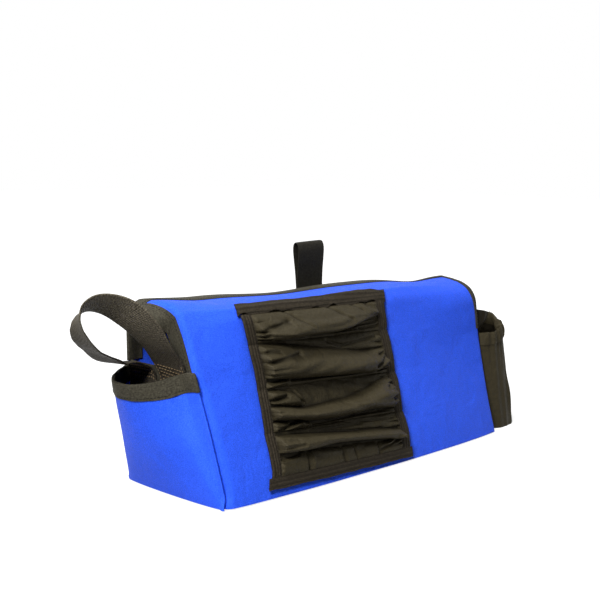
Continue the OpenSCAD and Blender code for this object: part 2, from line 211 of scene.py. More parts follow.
def shell(outer, inner, uv):
    """Closed skin of two grids of points: the outer grid, the inner one turned round, and a strip
    that joins their borders. uv gives each grid point's place on the flat cloth."""
    size = outer.shape[:2]
    count = size[0] * size[1]
    index = np.arange(count).reshape(size)
    border = concatenate([index[0, :-1], index[:-1, -1], index[-1, :0:-1], index[:0:-1, 0]])
    ahead = np.roll(border, -1)
    strip = np.stack([ahead, border, border + count, ahead + count], -1)
    faces = concatenate([grid_faces(*size), grid_faces(*size, count)[:, ::-1], strip])
    points = concatenate([outer.reshape(-1, 3), inner.reshape(-1, 3)])
    return points, faces.tolist(), concatenate([uv.reshape(-1, 2)] * 2)


def layer(place, u, v, offs, flat):
    """Closed skin of cloth on a surface given by place(u, v, off), between two offsets from it."""
    return shell(*(place(u, v, off) for off in offs), flat)


def tube(rings, uv):
    """Closed tube through rings of points, capped at both ends by its first and last ring."""
    rows, across = rings.shape[:2]
    faces = grid_faces(rows, across, closed=True).tolist()
    faces += [list(range(across))[::-1], list(range((rows - 1) * across, rows * across))]
    return rings.reshape(-1, 3), faces, uv.reshape(-1, 2)


def volume(points, faces):
    """Signed volume of a closed mesh: a sixth of the triple products of its fan triangles."""
    total = 0.0
    for size in {len(face) for face in faces}:
        ring = points[array([face for face in faces if len(face) == size])]
        for k in range(1, size - 1):
            total += np.einsum("ij,ij->", ring[:, 0], cross(ring[:, k], ring[:, k + 1])) / 6
    return total


METRES = 0.001


def add_piece(name, parts, look, nodes, body="bag", bend=None, sharp=50, hollow=None):
    """Makes one object of closed parts in millimetres, turned right side out, gives it its look,
    a finish and a material slot, stands it for its CAD nodes, and fixes it to a body; given a bend,
    it is only baked in place and fixed to no body, and the bend's bodies and points are not used.
    Its last argument gives each point, from 0 to 1, how much painted shade the finish lays on it."""
    points, faces, uv, start = [], [], [], 0
    for part_points, part_faces, part_uv in parts:
        turn = -1 if volume(part_points - part_points.mean(0), part_faces) < 0 else 1
        faces += [[start + k for k in face[::turn]] for face in part_faces]
        points.append(part_points)
        uv.append(part_uv)
        start += len(part_points)
    mesh = bpy.data.meshes.new(name)
    mesh.from_pydata((concatenate(points) * METRES).tolist(), [], faces)
    corner = np.zeros(len(mesh.loops), np.int32)
    mesh.loops.foreach_get("vertex_index", corner)
    flat = (concatenate(uv)[corner] * METRES).astype(np.float32)
    mesh.uv_layers.new(name="cloth").data.foreach_set("uv", flat.ravel())
    # Painted shade: each point's share of it is stored in an attribute that the finish reads.
    if hollow is not None:
        depths = np.broadcast_to(hollow, start).astype(np.float32)
        mesh.attributes.new("hollow", "FLOAT", "POINT").data.foreach_set("value", depths)
    mesh.polygons.foreach_set("use_smooth", np.ones(len(mesh.polygons), bool))
    mesh.set_sharp_from_angle(angle=radians(sharp))
    mesh.materials.append(look[0])
    mesh.update()
    piece = bpy.data.objects.new(name, mesh)
    bpy.context.scene.collection.objects.link(piece)
    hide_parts(*nodes)
    if bend:
        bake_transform(piece)
    else:
        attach(piece, body)
    return piece


def add_cloth(name, place, u, v, offs, look, nodes, flat=None, scale=(1, 1), **held):
    """One piece of cloth on a surface given by place(u, v, off), between two offsets. u and v are
    axes or tables; its flat place is given, or else u and v in millimetres after scale."""
    u, v = grid(u, v) if np.ndim(u) == 1 else (u, v)
    flat = flat if flat is not None else columns(u * scale[0], v * scale[1])
    return add_piece(name, [layer(place, u, v, offs, flat)], look, nodes, **held)


def fill(tree, node, inputs, **settings):
    """Gives a shader node its settings and inputs; an input is a value or another node's output."""
    for key, value in settings.items():
        setattr(node, key, value)
    for key, value in dict(inputs).items():
        if isinstance(value, bpy.types.NodeSocket):
            tree.links.new(value, node.inputs[key])
        else:
            node.inputs[key].default_value = value
    return node.outputs


def add_node(tree, kind, inputs=(), **settings):
    """Adds a shader node to a tree, filled in, and returns its outputs."""
    return fill(tree, tree.nodes.new("ShaderNode" + kind), inputs, **settings)


def maths(tree, operation, *values):
    """Adds a Math node and returns its output."""
    return add_node(tree, "Math", enumerate(values), operation=operation)[0]


def plain_weave():
    """Threads crossing one over one: in every other cell the thread along u rises, sin(pi u), and
    in the rest the one along v does. Height is that rise and Tone dips between the threads."""
    group = bpy.data.node_groups.new("plain_weave", "ShaderNodeTree")
    for label, way, kind in (("Place", "INPUT", "Vector"), ("Threads", "INPUT", "Float"),
                             ("Ratio", "INPUT", "Float"), ("Height", "OUTPUT", "Float"),
                             ("Tone", "OUTPUT", "Float")):
        group.interface.new_socket(label, in_out=way, socket_type="NodeSocket" + kind)
    given = group.nodes.new("NodeGroupInput").outputs
    do = partial(maths, group)
    split = add_node(group, "SeparateXYZ", {0: given["Place"]})
    u = do("MULTIPLY", split[0], given["Threads"])
    v = do("MULTIPLY", split[1], do("MULTIPLY", given["Threads"], given["Ratio"]))
    odd = do("FLOORED_MODULO", do("ADD", do("FLOOR", u), do("FLOOR", v)), 2.0)
    even = do("SUBTRACT", 1.0, odd)
    rises = [do("SINE", do("MULTIPLY", do("FRACT", w), pi)) for w in (u, v)]
    over, under = (do("ADD", do("MULTIPLY", one, odd), do("MULTIPLY", other, even))
                   for one, other in (rises, rises[::-1]))
    height = do("MULTIPLY", over, do("MULTIPLY_ADD", under, 0.4, 0.6))
    fill(group, group.nodes.new("NodeGroupOutput"),
         {"Height": height, "Tone": do("MULTIPLY_ADD", height, 0.3, 0.7)})
    return group


WEAVE = plain_weave()


def new_finish(name):
    """New material with its node tree."""
    finish = bpy.data.materials.new(name)
    finish.use_nodes = True
    return finish, finish.node_tree


def cloth_finish(name, dark, light, threads=1300, ratio=0.45, roughness=0.55, sheen=0.0,
                 depth=0.00016, mottle=650, gloss=0.05, blotch=1.6, stripe=0.0, crumple=(60, 0.0),
                 hollow=0.0, painted_crown_light=None):
    """Woven finish: the weave's height bumps the surface over a soft crumple of a given scale and
    depth; a fine noise and the weave's tone move the colour between dark and light. It is darker
    in lengthwise stripes if a pitch is given. By a given strength it is darkened as the mesh's
    attribute says: painted shade in hollows and in shaded insides. Given a centre and width along
    v, it is painted lighter in a bell curve there and darker away from it: a painted highlight on a
    strap's crown and painted shade on its legs."""
    finish, tree = new_finish(name)
    do = partial(maths, tree)
    place = add_node(tree, "UVMap", uv_map="cloth")[0]
    spot = add_node(tree, "TexCoord")["Object"]
    weave = add_node(tree, "Group", {"Place": place, "Threads": threads, "Ratio": ratio},
                     node_tree=WEAVE)
    along = add_node(tree, "SeparateXYZ", {0: place})[1]
    noise = add_node(tree, "TexNoise", {"Scale": mottle, "Detail": 5.0, "Vector": spot})[0]
    level = do("MULTIPLY", do("MULTIPLY_ADD", noise, blotch, 0.5 - blotch / 2), weave["Tone"])
    if stripe:
        lines = do("SINE", do("MULTIPLY", along, 2 * pi / stripe))
        level = do("MULTIPLY", level, do("MULTIPLY_ADD", lines, 0.3, 0.7))
    # Painted shade: darker where the mesh's attribute says, in hollows and shaded insides.
    if hollow:
        low = add_node(tree, "Attribute", attribute_name="hollow")["Fac"]
        level = do("MULTIPLY", level, do("MULTIPLY_ADD", low, -hollow, 1.0))
    # Painted light: lighter in a bell along v and darker away from it, for a lit crown and shaded
    # legs.
    if painted_crown_light:
        off = do("DIVIDE", do("SUBTRACT", along, painted_crown_light[0]), painted_crown_light[1])
        bell = do("EXPONENT", do("MULTIPLY", do("MULTIPLY", off, off), -1.0))
        level = do("MULTIPLY", level, do("MULTIPLY_ADD", bell, 0.85, 0.30))
    level = do("MINIMUM", do("MAXIMUM", level, 0.0), 1.0)
    colour = add_node(tree, "Mix", {"A": (*dark, 1), "B": (*light, 1), "Factor": level},
                      data_type="RGBA")["Result"]
    creases = add_node(tree, "TexNoise", {"Scale": crumple[0], "Detail": 3.0, "Distortion": 0.7,
                                          "Vector": spot})[0]
    soft = add_node(tree, "Bump", {"Strength": 1.0, "Distance": crumple[1], "Height": creases})[0]
    relief = add_node(tree, "Bump", {"Strength": 0.8, "Distance": depth, "Normal": soft,
                                     "Height": weave["Height"]})[0]
    fill(tree, tree.nodes["Principled BSDF"],
         {"Base Color": colour, "Roughness": roughness, "Normal": relief, "Sheen Weight": sheen,
          "Sheen Roughness": 0.5, "Specular IOR Level": gloss,
          "Specular Tint": (1.0, 0.93, 0.76, 1)})
    return finish


BLUE = (cloth_finish("blue_cloth", dark=(0.005, 0.052, 0.56), light=(0.034, 0.125, 0.98),
                     threads=1500, ratio=1.0, roughness=0.62, sheen=0.05, depth=0.00018,
                     mottle=1100, gloss=0.10, blotch=2.2, crumple=(28, 0.0025)), "blue_cloth")


def side_reach(s, left):
    """How far across the front cloth's edge lies at s: round the corner to the seam beside an end
    wall, and by the spare width further above it."""
    starts, corner = corner_of(s, left)
    spare = 6 + 10.5 * ease(107, 117, s) if left else (8 - 3 * ease(125, 160, s)) * ease(97, 107, s)
    return starts + corner * pi / 2 + spare


# Stations up the cloth, closer at the shoulder, and across it: left turn, middle, right turn.
up = np.unique(concatenate([linspace(0, 150, 62), linspace(150, 185, 26),
                            linspace(185, FLAP_END, 26)]))
across = concatenate([linspace(0, 1, 22)[:-1], linspace(1, 2, 128)[:-1], linspace(2, 3, 22)])
S, A = grid(up, across)
TURN_AT = 183.0
left_end, right_end = -side_reach(S, True), side_reach(S, False)
P = where(A < 1, left_end + (-TURN_AT - left_end) * A,
          where(A < 2, -TURN_AT + 2 * TURN_AT * (A - 1),
                TURN_AT + (right_end - TURN_AT) * (A - 2)))
FOLD = ("bag", "flap", (0, -0.019, 0.1645), (0, 0.001, 0.1645))
front_cloth = add_cloth("front_and_flap_cloth", on_front, P, S, BOTH_FACES, BLUE,
                        ["front_panel", "top_flap"], bend=FOLD)

# ---- Base, back panel and end walls ----
# Four more pieces of the same cloth. The base bows out between its corners, the back panel stands
# upright, and the end walls are cut low, so that the bag can be packed with the flap shut.

BASE_FRONT_SAG, BASE_END_SAG, BASE_BACK_SAG = 10.0, 5.0, 2.0
HALF_DEEP = 67.5
base_a, base_b = grid(linspace(-1, 1, 97), linspace(-1, 1, 45))
narrower = 4.2 * clip(base_a, 0, 1) ** 4 * clip(-base_b, 0, 1) ** 2
end_sag = np.sign(base_a) * BASE_END_SAG * np.abs(base_a) ** 6 * bow(base_b, 1)
side_sag = where(base_b < 0, BASE_FRONT_SAG, -BASE_BACK_SAG) * np.abs(base_b) ** 6
rim_lift = 1.2 * (np.abs(base_a) ** 24 + np.abs(base_b) ** 12)
base_points = columns(HALF_LONG * base_a - narrower + end_sag,
                      HALF_DEEP * base_b - side_sag * bow(base_a, 1),
                      CLOTH_HALF + clip(rim_lift, 0, 1.4))
lift = array([0, 0, CLOTH_HALF])
base_cloth = add_piece(
    "base_cloth", [shell(base_points + lift, base_points - lift, base_points[..., :2])],
    BLUE, ["base_panel"])

BACK_TOP, EDGE_BACK = 150.0, 0.8


def back_point(x, z, off=0.0):
    """Back panel at x along and z up, off behind its middle: a plane that bows out low down and
    waves a little along its free top edge."""
    x, z, off = arrays(x, z, off)
    y = 66.6 + 2.0 * bow(x, 201) * exp(-((z / 50) ** 2))
    y = y + 0.9 * sin(x / 43 + 0.8) * (z / 150) ** 2
    return columns(x, y - 3.0 * ease(186, 200, np.abs(x)) + off, z)


back_cloth = add_cloth("back_cloth", back_point, linspace(-HALF_LONG, HALF_LONG, 121),
                       linspace(1.5, BACK_TOP - EDGE_BACK, 46), BOTH_FACES, BLUE, ["back_panel"])


def wall_point(side, b, z, off=0.0):
    """End wall at fraction b from the front cloth to the back panel and z up, off outwards; it
    bows by a few millimetres and turns in to its seams."""
    b, z, off = arrays(b, z, off)
    front_y = -61.5 + 0.287 * z
    bulge = 1.2 * sin(b * pi) * sin(clip(z, 0, WALL_TOP) / WALL_TOP * pi)
    x = side * (198.6 + bulge - 2.0 * (bump(b, 0, 0.04) + bump(b, 1, 0.04))
                - 2.1 * (1 + side) * (1 - ease(0, 105, z)) * (1 - b) ** 3)
    return columns(x + side * off, front_y + (65.0 - front_y) * b, z)


WALL_FACES = (0.7, -0.7)
wall_b, wall_z = grid(linspace(0, 1, 61), linspace(1.5, WALL_TOP - EDGE_BACK, 40))
for side, end in ((-1, "left"), (1, "right")):
    flat_place = wall_point(side, wall_b, wall_z)[..., 1:]
    wall = add_cloth(end + "_wall_cloth", partial(wall_point, side), wall_b, wall_z, WALL_FACES,
                     BLUE, [end + "_end_wall"], flat_place)

# ---- Edge bindings ----
# Black tape folded over every raw edge and sewn through. It is a little slack, so its legs bow off
# the cloth between the fold and the row of stitches.

LEG_BOW = 0.35


def fold_section(width, half_gap, thick, ribs=0):
    """Section of a folded tape as pairs (depth from the edge, height off the middle): up one leg,
    round the fold as half an ellipse, down the other, and back inside. The legs bow outwards as
    half a sine, and may carry lengthwise ribs, which are sines across them."""
    depth = linspace(width, 0, 9 + 8 * ribs)
    arch = sin(depth / width * pi)
    top = half_gap + thick + LEG_BOW * arch
    if ribs:
        top = top + 0.3 * sin(depth / width * pi * 2 * ribs) * arch
    angle = linspace(90, -90, 9)[1:-1] * pi / 180
    inner_depth = linspace(width, 0.2, 5)
    inner_top = half_gap + 0.05 + LEG_BOW * sin(inner_depth / width * pi)
    runs = ((depth, top), (-(thick + 0.6) * cos(angle), (half_gap + thick) * sin(angle)),
            (depth[::-1], -top[::-1]), (inner_depth, -inner_top),
            (inner_depth[::-1], inner_top[::-1]))
    return concatenate([columns(*run) for run in runs])


def run_of(points):
    """Length along a line of points from its first to each of them."""
    return concatenate([[0], np.cumsum(np.linalg.norm(np.diff(points, axis=0), axis=1))])


def tape_uv(stations, section):
    """Flat place of each point of a folded tape: length along it, and length round its section."""
    return columns(stations[:, None], run_of(section))


def add_tape(name, rings, section, look, nodes, length, **held):
    """Folded tape of a given length as one piece: a tube through rings of its section's points."""
    flat = tape_uv(linspace(0, length, len(rings)), section)
    return add_piece(name, [tube(rings, flat)], look, nodes, **held)


TAPE_WIDE, TAPE_NARROW, TAPE_THICK = 17.0, 14.0, 0.7
EDGE_LOW = WALL_TOP + 4
BINDING = (cloth_finish("binding_tape", dark=(0.012, 0.0105, 0.0075),
                        light=(0.074, 0.068, 0.050)), "binding_tape")

# Up the left side edge, along the rear edge and down the right side edge.
wide_section = fold_section(TAPE_WIDE, CLOTH_HALF, TAPE_THICK)
depth, height = wide_section.T
side_steps = linspace(0, 1, 90)[:, None]
rear_steps = linspace(0, 1, 200)[1:-1][:, None]
left_s = EDGE_LOW + side_steps * (FLAP_END - depth - EDGE_LOW)
right_s = (WALL_TOP + side_steps * (FLAP_END - depth - WALL_TOP))[::-1]
rear_left, rear_right = -side_reach(FLAP_END, True), side_reach(FLAP_END, False)
rear_p = rear_left + depth + rear_steps * (rear_right - rear_left - 2 * depth)
cloth_edge = concatenate([
    on_front(-side_reach(left_s, True) + depth, left_s, height),
    on_front(rear_p, FLAP_END - depth, height),
    on_front(side_reach(right_s, False) - depth, right_s, height)])
add_tape("front_and_flap_binding", cloth_edge, wide_section, BINDING,
         ["front_binding_left", "front_binding_right", "flap_binding"], length=670, bend=FOLD)

back_edge = BACK_TOP - EDGE_BACK - depth
side_z = WALL_TOP + linspace(0, 1, 16)[:, None] * (back_edge - WALL_TOP)
top_x = -HALF_LONG + depth + linspace(0, 1, 160)[1:-1][:, None] * (2 * HALF_LONG - 2 * depth)
panel_edge = concatenate([
    back_point(-HALF_LONG + depth, side_z, height), back_point(top_x, back_edge, height),
    back_point(HALF_LONG - depth, side_z[::-1], height)])
add_tape("back_binding_tape", panel_edge, wide_section, BINDING, ["back_binding"], length=476)

narrow_section = fold_section(TAPE_NARROW, CLOTH_HALF, TAPE_THICK)
depth, height = narrow_section.T
wall_run = linspace(0.02, 0.985, 50)[:, None]
for side, end in ((-1, "left"), (1, "right")):
    add_tape(end + "_wall_binding_tape",
             wall_point(side, wall_run, WALL_TOP - EDGE_BACK - depth, height),
             narrow_section, BINDING, [end + "_wall_binding"], length=100)

# ---- Seam tapes inside ----
# Flat tape sewn over the raw seam allowance: one run round the bottom, and a strip up each of the
# four upright corners.


def strip(place, u_range, v_range, near, counts, scale=1):
    """Flat strip of tape on a surface given by place(u, v, off), inside it from near."""
    u, v = grid(linspace(*u_range, counts[0]), linspace(*v_range, counts[1]))
    return layer(place, u, v, (near - TAPE_THICK, near), columns(u * scale, v))


bottom_runs = [strip(on_front, (-190, 190), (3, 10), -0.9, (120, 4)),
               strip(back_point, (-190, 190), (3, 10), -0.9, (80, 4))]
corner_runs = []
for side in (-1, 1):
    wall = partial(wall_point, side)
    bottom_runs.append(strip(wall, (0.03, 0.97), (3, 10), -0.8, (40, 4), 120))
    corner_runs += [strip(wall, b_range, (14, 94), -0.8, (5, 20), 120)
                    for b_range in ((0.02, 0.1), (0.9, 0.98))]
add_piece("bottom_seam_tape", bottom_runs, BINDING, ["base_seam_tape"])
add_piece("corner_seam_tape", corner_runs, BINDING, ["corner_seam_tapes"])

# ---- Stiffening board ----
# A loose sheet of matt black plastic with rounded corners, dropped in to keep the base flat.
# Its edges are eased above and below, and its surface has a fine grain.


def signed_root(value, power):
    """The value's size raised to power, with its sign kept."""
    return np.sign(value) * np.abs(value) ** power


ring = linspace(0, 2 * pi, 160, endpoint=False)
round_x, round_y = signed_root(cos(ring), 0.12), signed_root(sin(ring), 0.12)
board_low, board_high = (array(corner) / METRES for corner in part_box("base_board"))
half_x, half_y, _ = (board_high - board_low) / 2
board_rings = np.stack([
    columns((half_x - inset) * round_x, (half_y - inset) * round_y, z)
    for inset, z in ((0.5, board_low[2] + 0.6), (0, board_low[2] + 0.9),
                     (0, board_high[2] - 0.3), (0.5, board_high[2]))])
board_black, tree = new_finish("board_black")
noise = add_node(tree, "TexNoise", {"Scale": 900})[0]
tone = add_node(tree, "Mix", {"A": (0.010, 0.010, 0.011, 1), "B": (0.026, 0.026, 0.028, 1),
                              "Factor": noise}, data_type="RGBA")["Result"]
grain = add_node(tree, "Bump", {"Distance": 0.0001, "Height": noise})[0]
fill(tree, tree.nodes["Principled BSDF"], {"Base Color": tone, "Roughness": 0.6, "Normal": grain})
add_piece("stiffening_board", [tube(board_rings, board_rings[..., :2])], (board_black, "board"),
          ["base_board"], sharp=30)

# ---- Left pocket ----
# A wide piece of the blue cloth sewn into the corner seams of the left end. Its top edge is longer
# than the wall behind, so it stands out as an open pocket, highest at the front.

RIM_T = array([0, 0.03, 0.113, 0.178, 0.246, 0.325, 0.435, 0.523, 0.614, 0.69, 0.79, 0.90, 1.0])
RIM_XYZ = array(
    [(-200.9, -29.5, 113.3), (-201.8, -25.5, 113.0), (-205, -15, 110.2), (-211.5, -9.7, 107.5),
     (-219.7, -6.2, 105.3), (-228.3, 0, 103.5), (-238.9, 10.5, 102.3), (-243.7, 20.7, 102.8),
     (-241, 31.5, 104), (-234, 41, 105), (-223, 50, 105.8), (-209.5, 59, 107),
     (-199.9, 64.3, 108)], float)
FOOT_T, FOOT_AT = array(
    [(0, 0), (0.113, 0.008), (0.19, 0.02), (0.25, 0.05), (0.33, 0.2), (0.435, 0.43), (0.523, 0.62),
     (0.614, 0.78), (0.69, 0.88), (0.79, 0.95), (1, 1)]).T
WRAP = 0.10


def pocket_middle(t, u):
    """Middle of the pocket cloth: straight lines from the measured rim to a foot on the base, which
    crowd at the front corner, so two flat faces meet along a soft diagonal. From t = 0 down to
    -WRAP it turns round the corner in a curve of the second degree to the seam."""
    on = clip(t, 0, 1)
    rim, foot_at = through(RIM_T, RIM_XYZ, on), through(FOOT_T, FOOT_AT, on)
    foot = columns(-200.6 - 4.5 * bow(2 * foot_at - 1, 1.0), -67 + 131.5 * foot_at, 0.9)
    point = foot * (1 - u[..., None]) + rim * u[..., None]
    soft = sin(clip(u, 0, 1) * pi)
    pull = 0.7 * sin(9 * on + 5 * u) * sin(7 * u)
    pull = pull + 3.0 * soft * bump(on, 0.74, 0.2) + 1.1 * soft * bump(on, 0.14, 0.09)
    z = point[..., 2]
    seam = np.minimum(np.add(*corner_of(clip(z / 0.955, 0, 118), True)), 199.2)
    point[..., 0] -= pull * ease(0, 0.08, on)
    point[..., 0] += np.minimum(0, -seam - 4.6 + 200.8) * (1 - ease(0, 0.12, on))
    y_front = through(LEFT_YZ[:4, 1], LEFT_YZ[:4, 0], z) - 1.6 * exp(-((z / 62) ** 2))
    tip = columns(-seam - 2.5, y_front + 13.0, z)
    knee = columns(-seam - 4.2, y_front - 5.0, z)
    a = clip(-t / WRAP, 0, 1)[..., None]
    turned = (1 - a) ** 2 * point + 2 * a * (1 - a) * knee + a * a * tip
    return where(t[..., None] < 0, turned, point)


def left_pocket(t, u, off=0.0):
    """Pocket cloth at t from front to back and u up, off outwards from its middle."""
    t, u, off = arrays(t, u, off)
    normal = cross(pocket_middle(t + 0.003, u) - pocket_middle(t - 0.003, u),
                   pocket_middle(t, u + 0.004) - pocket_middle(t, u - 0.004))
    return pocket_middle(t, u) + off[..., None] * -unit(normal)


pocket_t, pocket_u = grid(concatenate([linspace(-WRAP, 0, 36)[:-1], linspace(0, 1, 120)]),
                          linspace(0.0, 0.995, 64))
pocket_cloth = add_cloth("left_pocket_cloth", left_pocket, pocket_t, pocket_u, BOTH_FACES, BLUE,
                         ["left_pocket_panel"], left_pocket(pocket_t, pocket_u)[..., 1:])

RIM_HIGH = 106.0
rim_t = concatenate([linspace(-0.045, 0, 20)[:-1], linspace(0, 0.998, 110)])[:, None]
rim_wave = 0.4 * sin(rim_t * 40) * sin(rim_t * 9)
rim_off = height + np.sign(height) * 0.15 + rim_wave
add_tape("left_pocket_rim_tape", left_pocket(rim_t, 1 - (depth + 0.2) / RIM_HIGH, rim_off),
         narrow_section, BINDING, ["left_pocket_binding"], length=165)

# ---- Right pocket ----
# Thin black nylon gathered on elastic: a tall open bucket sewn to the right end, with a frilled
# casing round its rim and a layer of the same nylon standing up on the wall behind its mouth.

# Its finish lays painted shade, up to nine tenths darker, where a piece's attribute asks for it.
NYLON = (cloth_finish("thin_nylon", dark=(0.004, 0.003, 0.0015), light=(0.056, 0.046, 0.025),
                      threads=3300, ratio=1.0, depth=0.00006, mottle=900, gloss=0.1, blotch=0.6,
                      crumple=(75, 0.0022), hollow=0.9), "black_nylon")
RIGHT_X, RIGHT_HIGH, RIM_LOW = 201.2, 110.0, 96.0
BUCKET_Z, BUCKET_REACH, BUCKET_HALF = array(
    [(0, 54, 62.5), (30, 52.5, 60), (60, 48.5, 57), (94, 47, 53), (112, 46.5, 51.5)], float).T
RIM_TURN = np.radians([0, 18, 35, 57, 70, 80, 100, 140, 180])
RIM_RISE = array([-3.5, -1.5, 1.5, 6.5, 10.5, 13, 14.5, 13, 7])


def right_pocket(angle, z, off=0.0):
    """Bucket wall at an angle from front 0 to back pi and height z: a rounded box in plan that
    narrows upwards, is drawn in at its seams, and whose rim stands higher round the back. Its
    upright gathers are sines that drift with height and deepen towards the casing; one pinch draws
    in its outer corner."""
    angle, z, off = arrays(angle, z, off)
    up_it = z / RIGHT_HIGH
    shallow = clip(up_it, 0, 1)
    fine = sin(angle * 33 + 1.6 * sin(z / 23) + 2.2 * sin(angle * 7))
    broad = sin(angle * 9.5 + 0.9 * sin(z / 29) + 1.1)
    gathers = (0.15 + 0.55 * shallow ** 3) * fine
    gathers = gathers + (0.3 + 0.9 * shallow) * broad + 0.8 * sin(angle * 17 - z / 37)
    gathers = gathers - 3.4 * bump(angle, 0.95, 0.35) * bump(z, 56, 15)
    gathers = gathers + 1.5 * bump(angle, 0.45, 0.16) * bump(z, 62, 30)
    grow = off + gathers * ease(0, 0.25, sin(angle))
    aside = signed_root(cos(angle), 0.4)
    out = (through(BUCKET_Z, BUCKET_REACH, z) + grow) * signed_root(sin(angle), 0.4)
    y = 7 * up_it - (through(BUCKET_Z, BUCKET_HALF, z) + grow) * aside
    y = y + 8 * exp(-out / 6) * aside
    upright = sin(out / 2.3 + 0.9 * sin(z / 26) + 0.6) * ease(3, 10, out)
    upright = upright * (0.6 + 0.5 * shallow) * ease(0.1, 0.6, np.abs(cos(angle)))
    rise = through(RIM_TURN, RIM_RISE, angle) * ease(25, 100, z)
    return columns(RIGHT_X + out, y - upright * np.sign(cos(angle)), z + rise)


right_angle = pi / 2 * (1 + signed_root(linspace(-1, 1, 300), 0.75))
right_run = run_of(right_pocket(right_angle, 50.0))
wrap_a, wrap_z = grid(right_angle, linspace(0.9, 98, 60))
# The bucket's outer face takes no painted shade and its inner face full painted shade, for the
# shade inside it.
wrap = add_cloth("right_pocket_cloth", right_pocket, wrap_a, wrap_z, (-0.1, -0.6), NYLON,
                 ["right_pocket_wrap"], columns(right_run[:, None], wrap_z),
                 hollow=np.repeat([0.0, 1.0], wrap_a.size))

floor_r, floor_a = grid(linspace(0.02, 0.995, 14), right_angle[::3])
from_middle = right_pocket(floor_a, 0.0, -0.4) - array([RIGHT_X, 0, 0])
floor_points = array([RIGHT_X, 0, 0.5]) + from_middle * floor_r[..., None]
lift = array([0, 0, 0.25])
bottom = add_piece(
    "right_pocket_floor", [shell(floor_points + lift, floor_points - lift, floor_points[..., :2])],
    NYLON, ["right_pocket_base"])

# The casing's section, as pairs (out from the wall, height), frills along the rim.
casing = array(
    [(0.7, 0), (1.1, 2), (1.3, 5), (1.2, 8.5), (0.9, 11.5), (0.5, 13.2), (0, 13.8), (-0.9, 13.4),
     (-1.5, 11), (-1.8, 7), (-1.5, 2), (-1.0, 0), (-0.75, 0.3), (-1.0, 6), (-0.5, 12.0),
     (0.2, 12.4), (0.5, 10), (0.55, 5), (0.3, 0.3)])
casing_out, casing_up = casing.T
frill_a = right_angle[:, None]
frill = 0.6 * sin(frill_a * 71 + sin(frill_a * 13) * 2)
frill = frill + 0.5 * sin(frill_a * 113 + 3 * sin(frill_a * 5))
frill_out = casing_out * (1 + 0.3 * frill) + 0.2
frill_out = frill_out + 0.35 * frill * sin(casing_up / 14 * pi)
frill_z = RIM_LOW + casing_up + 0.45 * frill * (casing_up / 14)
add_piece("right_pocket_frill",
          [tube(right_pocket(frill_a, frill_z, frill_out), tape_uv(right_run, casing))],
          NYLON, ["right_pocket_casing"])

ELASTIC = (cloth_finish("elastic_black", dark=(0.010, 0.010, 0.009), light=(0.035, 0.034, 0.030),
                        threads=1100, ratio=0.5, roughness=0.7, sheen=0.1, depth=0.0001,
                        mottle=300), "elastic")
add_cloth("right_pocket_elastic_band", right_pocket, right_angle[30:-30],
          linspace(98.2, 106.4, 6), (-0.05, -0.35), ELASTIC, ["right_pocket_elastic"],
          scale=(60, 1))

FACING_AT = array([0, 0.10, 0.20, 0.28, 0.36, 0.5, 1.0])
FACING_PLACE = array(
    [(224, -32, 106, 127.5), (215, -32.5, 98, 129.8), (207, -31, 84, 131.2),
     (203.6, -27.5, 70, 131.8), (202.6, -20, 62, 128), (202.4, -6, 60, 119),
     (202.4, 42, 60, 114.5)], float)


def facing(a, v, off=0.0):
    """Nylon layer at a along it and v up: its plan runs along the end wall and folds out from it at
    the front into a small gusset, narrower at its foot, whose top edge rolls over a little."""
    a, v, off = arrays(a, v, off)
    plan_x, plan_y, low, high = np.moveaxis(through(FACING_AT, FACING_PLACE, a), -1, 0)
    foot_x = RIGHT_X + 0.6
    x = foot_x + (plan_x - foot_x) * (0.55 + 0.45 * v ** 1.5)
    y = plan_y + 2.2 * sin(v * 5 + 1) * ease(0.3, 0.0, a) + 0.5 * sin(a * 60) * v
    return columns(x + 0.5 * off, y + 0.8 * off, low + (high - low) * v)


# The whole layer takes full painted shade, for the shade inside the pocket's mouth.
lining = add_cloth("right_pocket_lining", facing, linspace(0, 1, 110), linspace(0, 1, 50),
                   (0.35, -0.35), NYLON, ["right_pocket_facing"], scale=(100, 60), hollow=1.0)

# ---- Front sleeves ----
# Four open-ended sleeves of thin black nylon in one panel: the cloth is longer than its backing,
# gathered into elastic-cored tape at both sides, and sewn down between the sleeves. The panel sits
# a little askew, so its rows are mapped to the measured places of its two side edges.

PANEL_WIDE = 198.0
ROWS = array([4, 12, 52, 92, 132, 160, 170.0])
PANEL_LEFT = array([(-154, 7.5), (-151, 16.5), (-147.5, 54.5), (-144.5, 93.5), (-145, 134),
                    (-146, 160.5), (-142.5, 171.5)])
PANEL_RIGHT = array([(37, 3.5), (38.5, 12), (41, 47), (46, 86), (47.5, 128.5), (50.5, 157),
                     (56, 168)])
SEAM_ROWS = (160.0, 132.0, 92.0, 52.0, 12.0)


def on_panel(x, s, off=0.0):
    """Point of the sleeve panel at x from its left edge and nominal row s: the two side edges'
    places mixed by x over the panel's width, then off in front of the front cloth."""
    x, s, off = arrays(x, s, off)
    share = (x / PANEL_WIDE)[..., None]
    place = through(ROWS, PANEL_LEFT, s) * (1 - share) + through(ROWS, PANEL_RIGHT, s) * share
    return on_front(place[..., 0], place[..., 1], off)


def edge_swell(r):
    """How far the side tapes stand off between two seams: the sine of r's half turn to the 0.6."""
    return 1.8 * sin(clip(r, 0, 1) * pi) ** 0.6


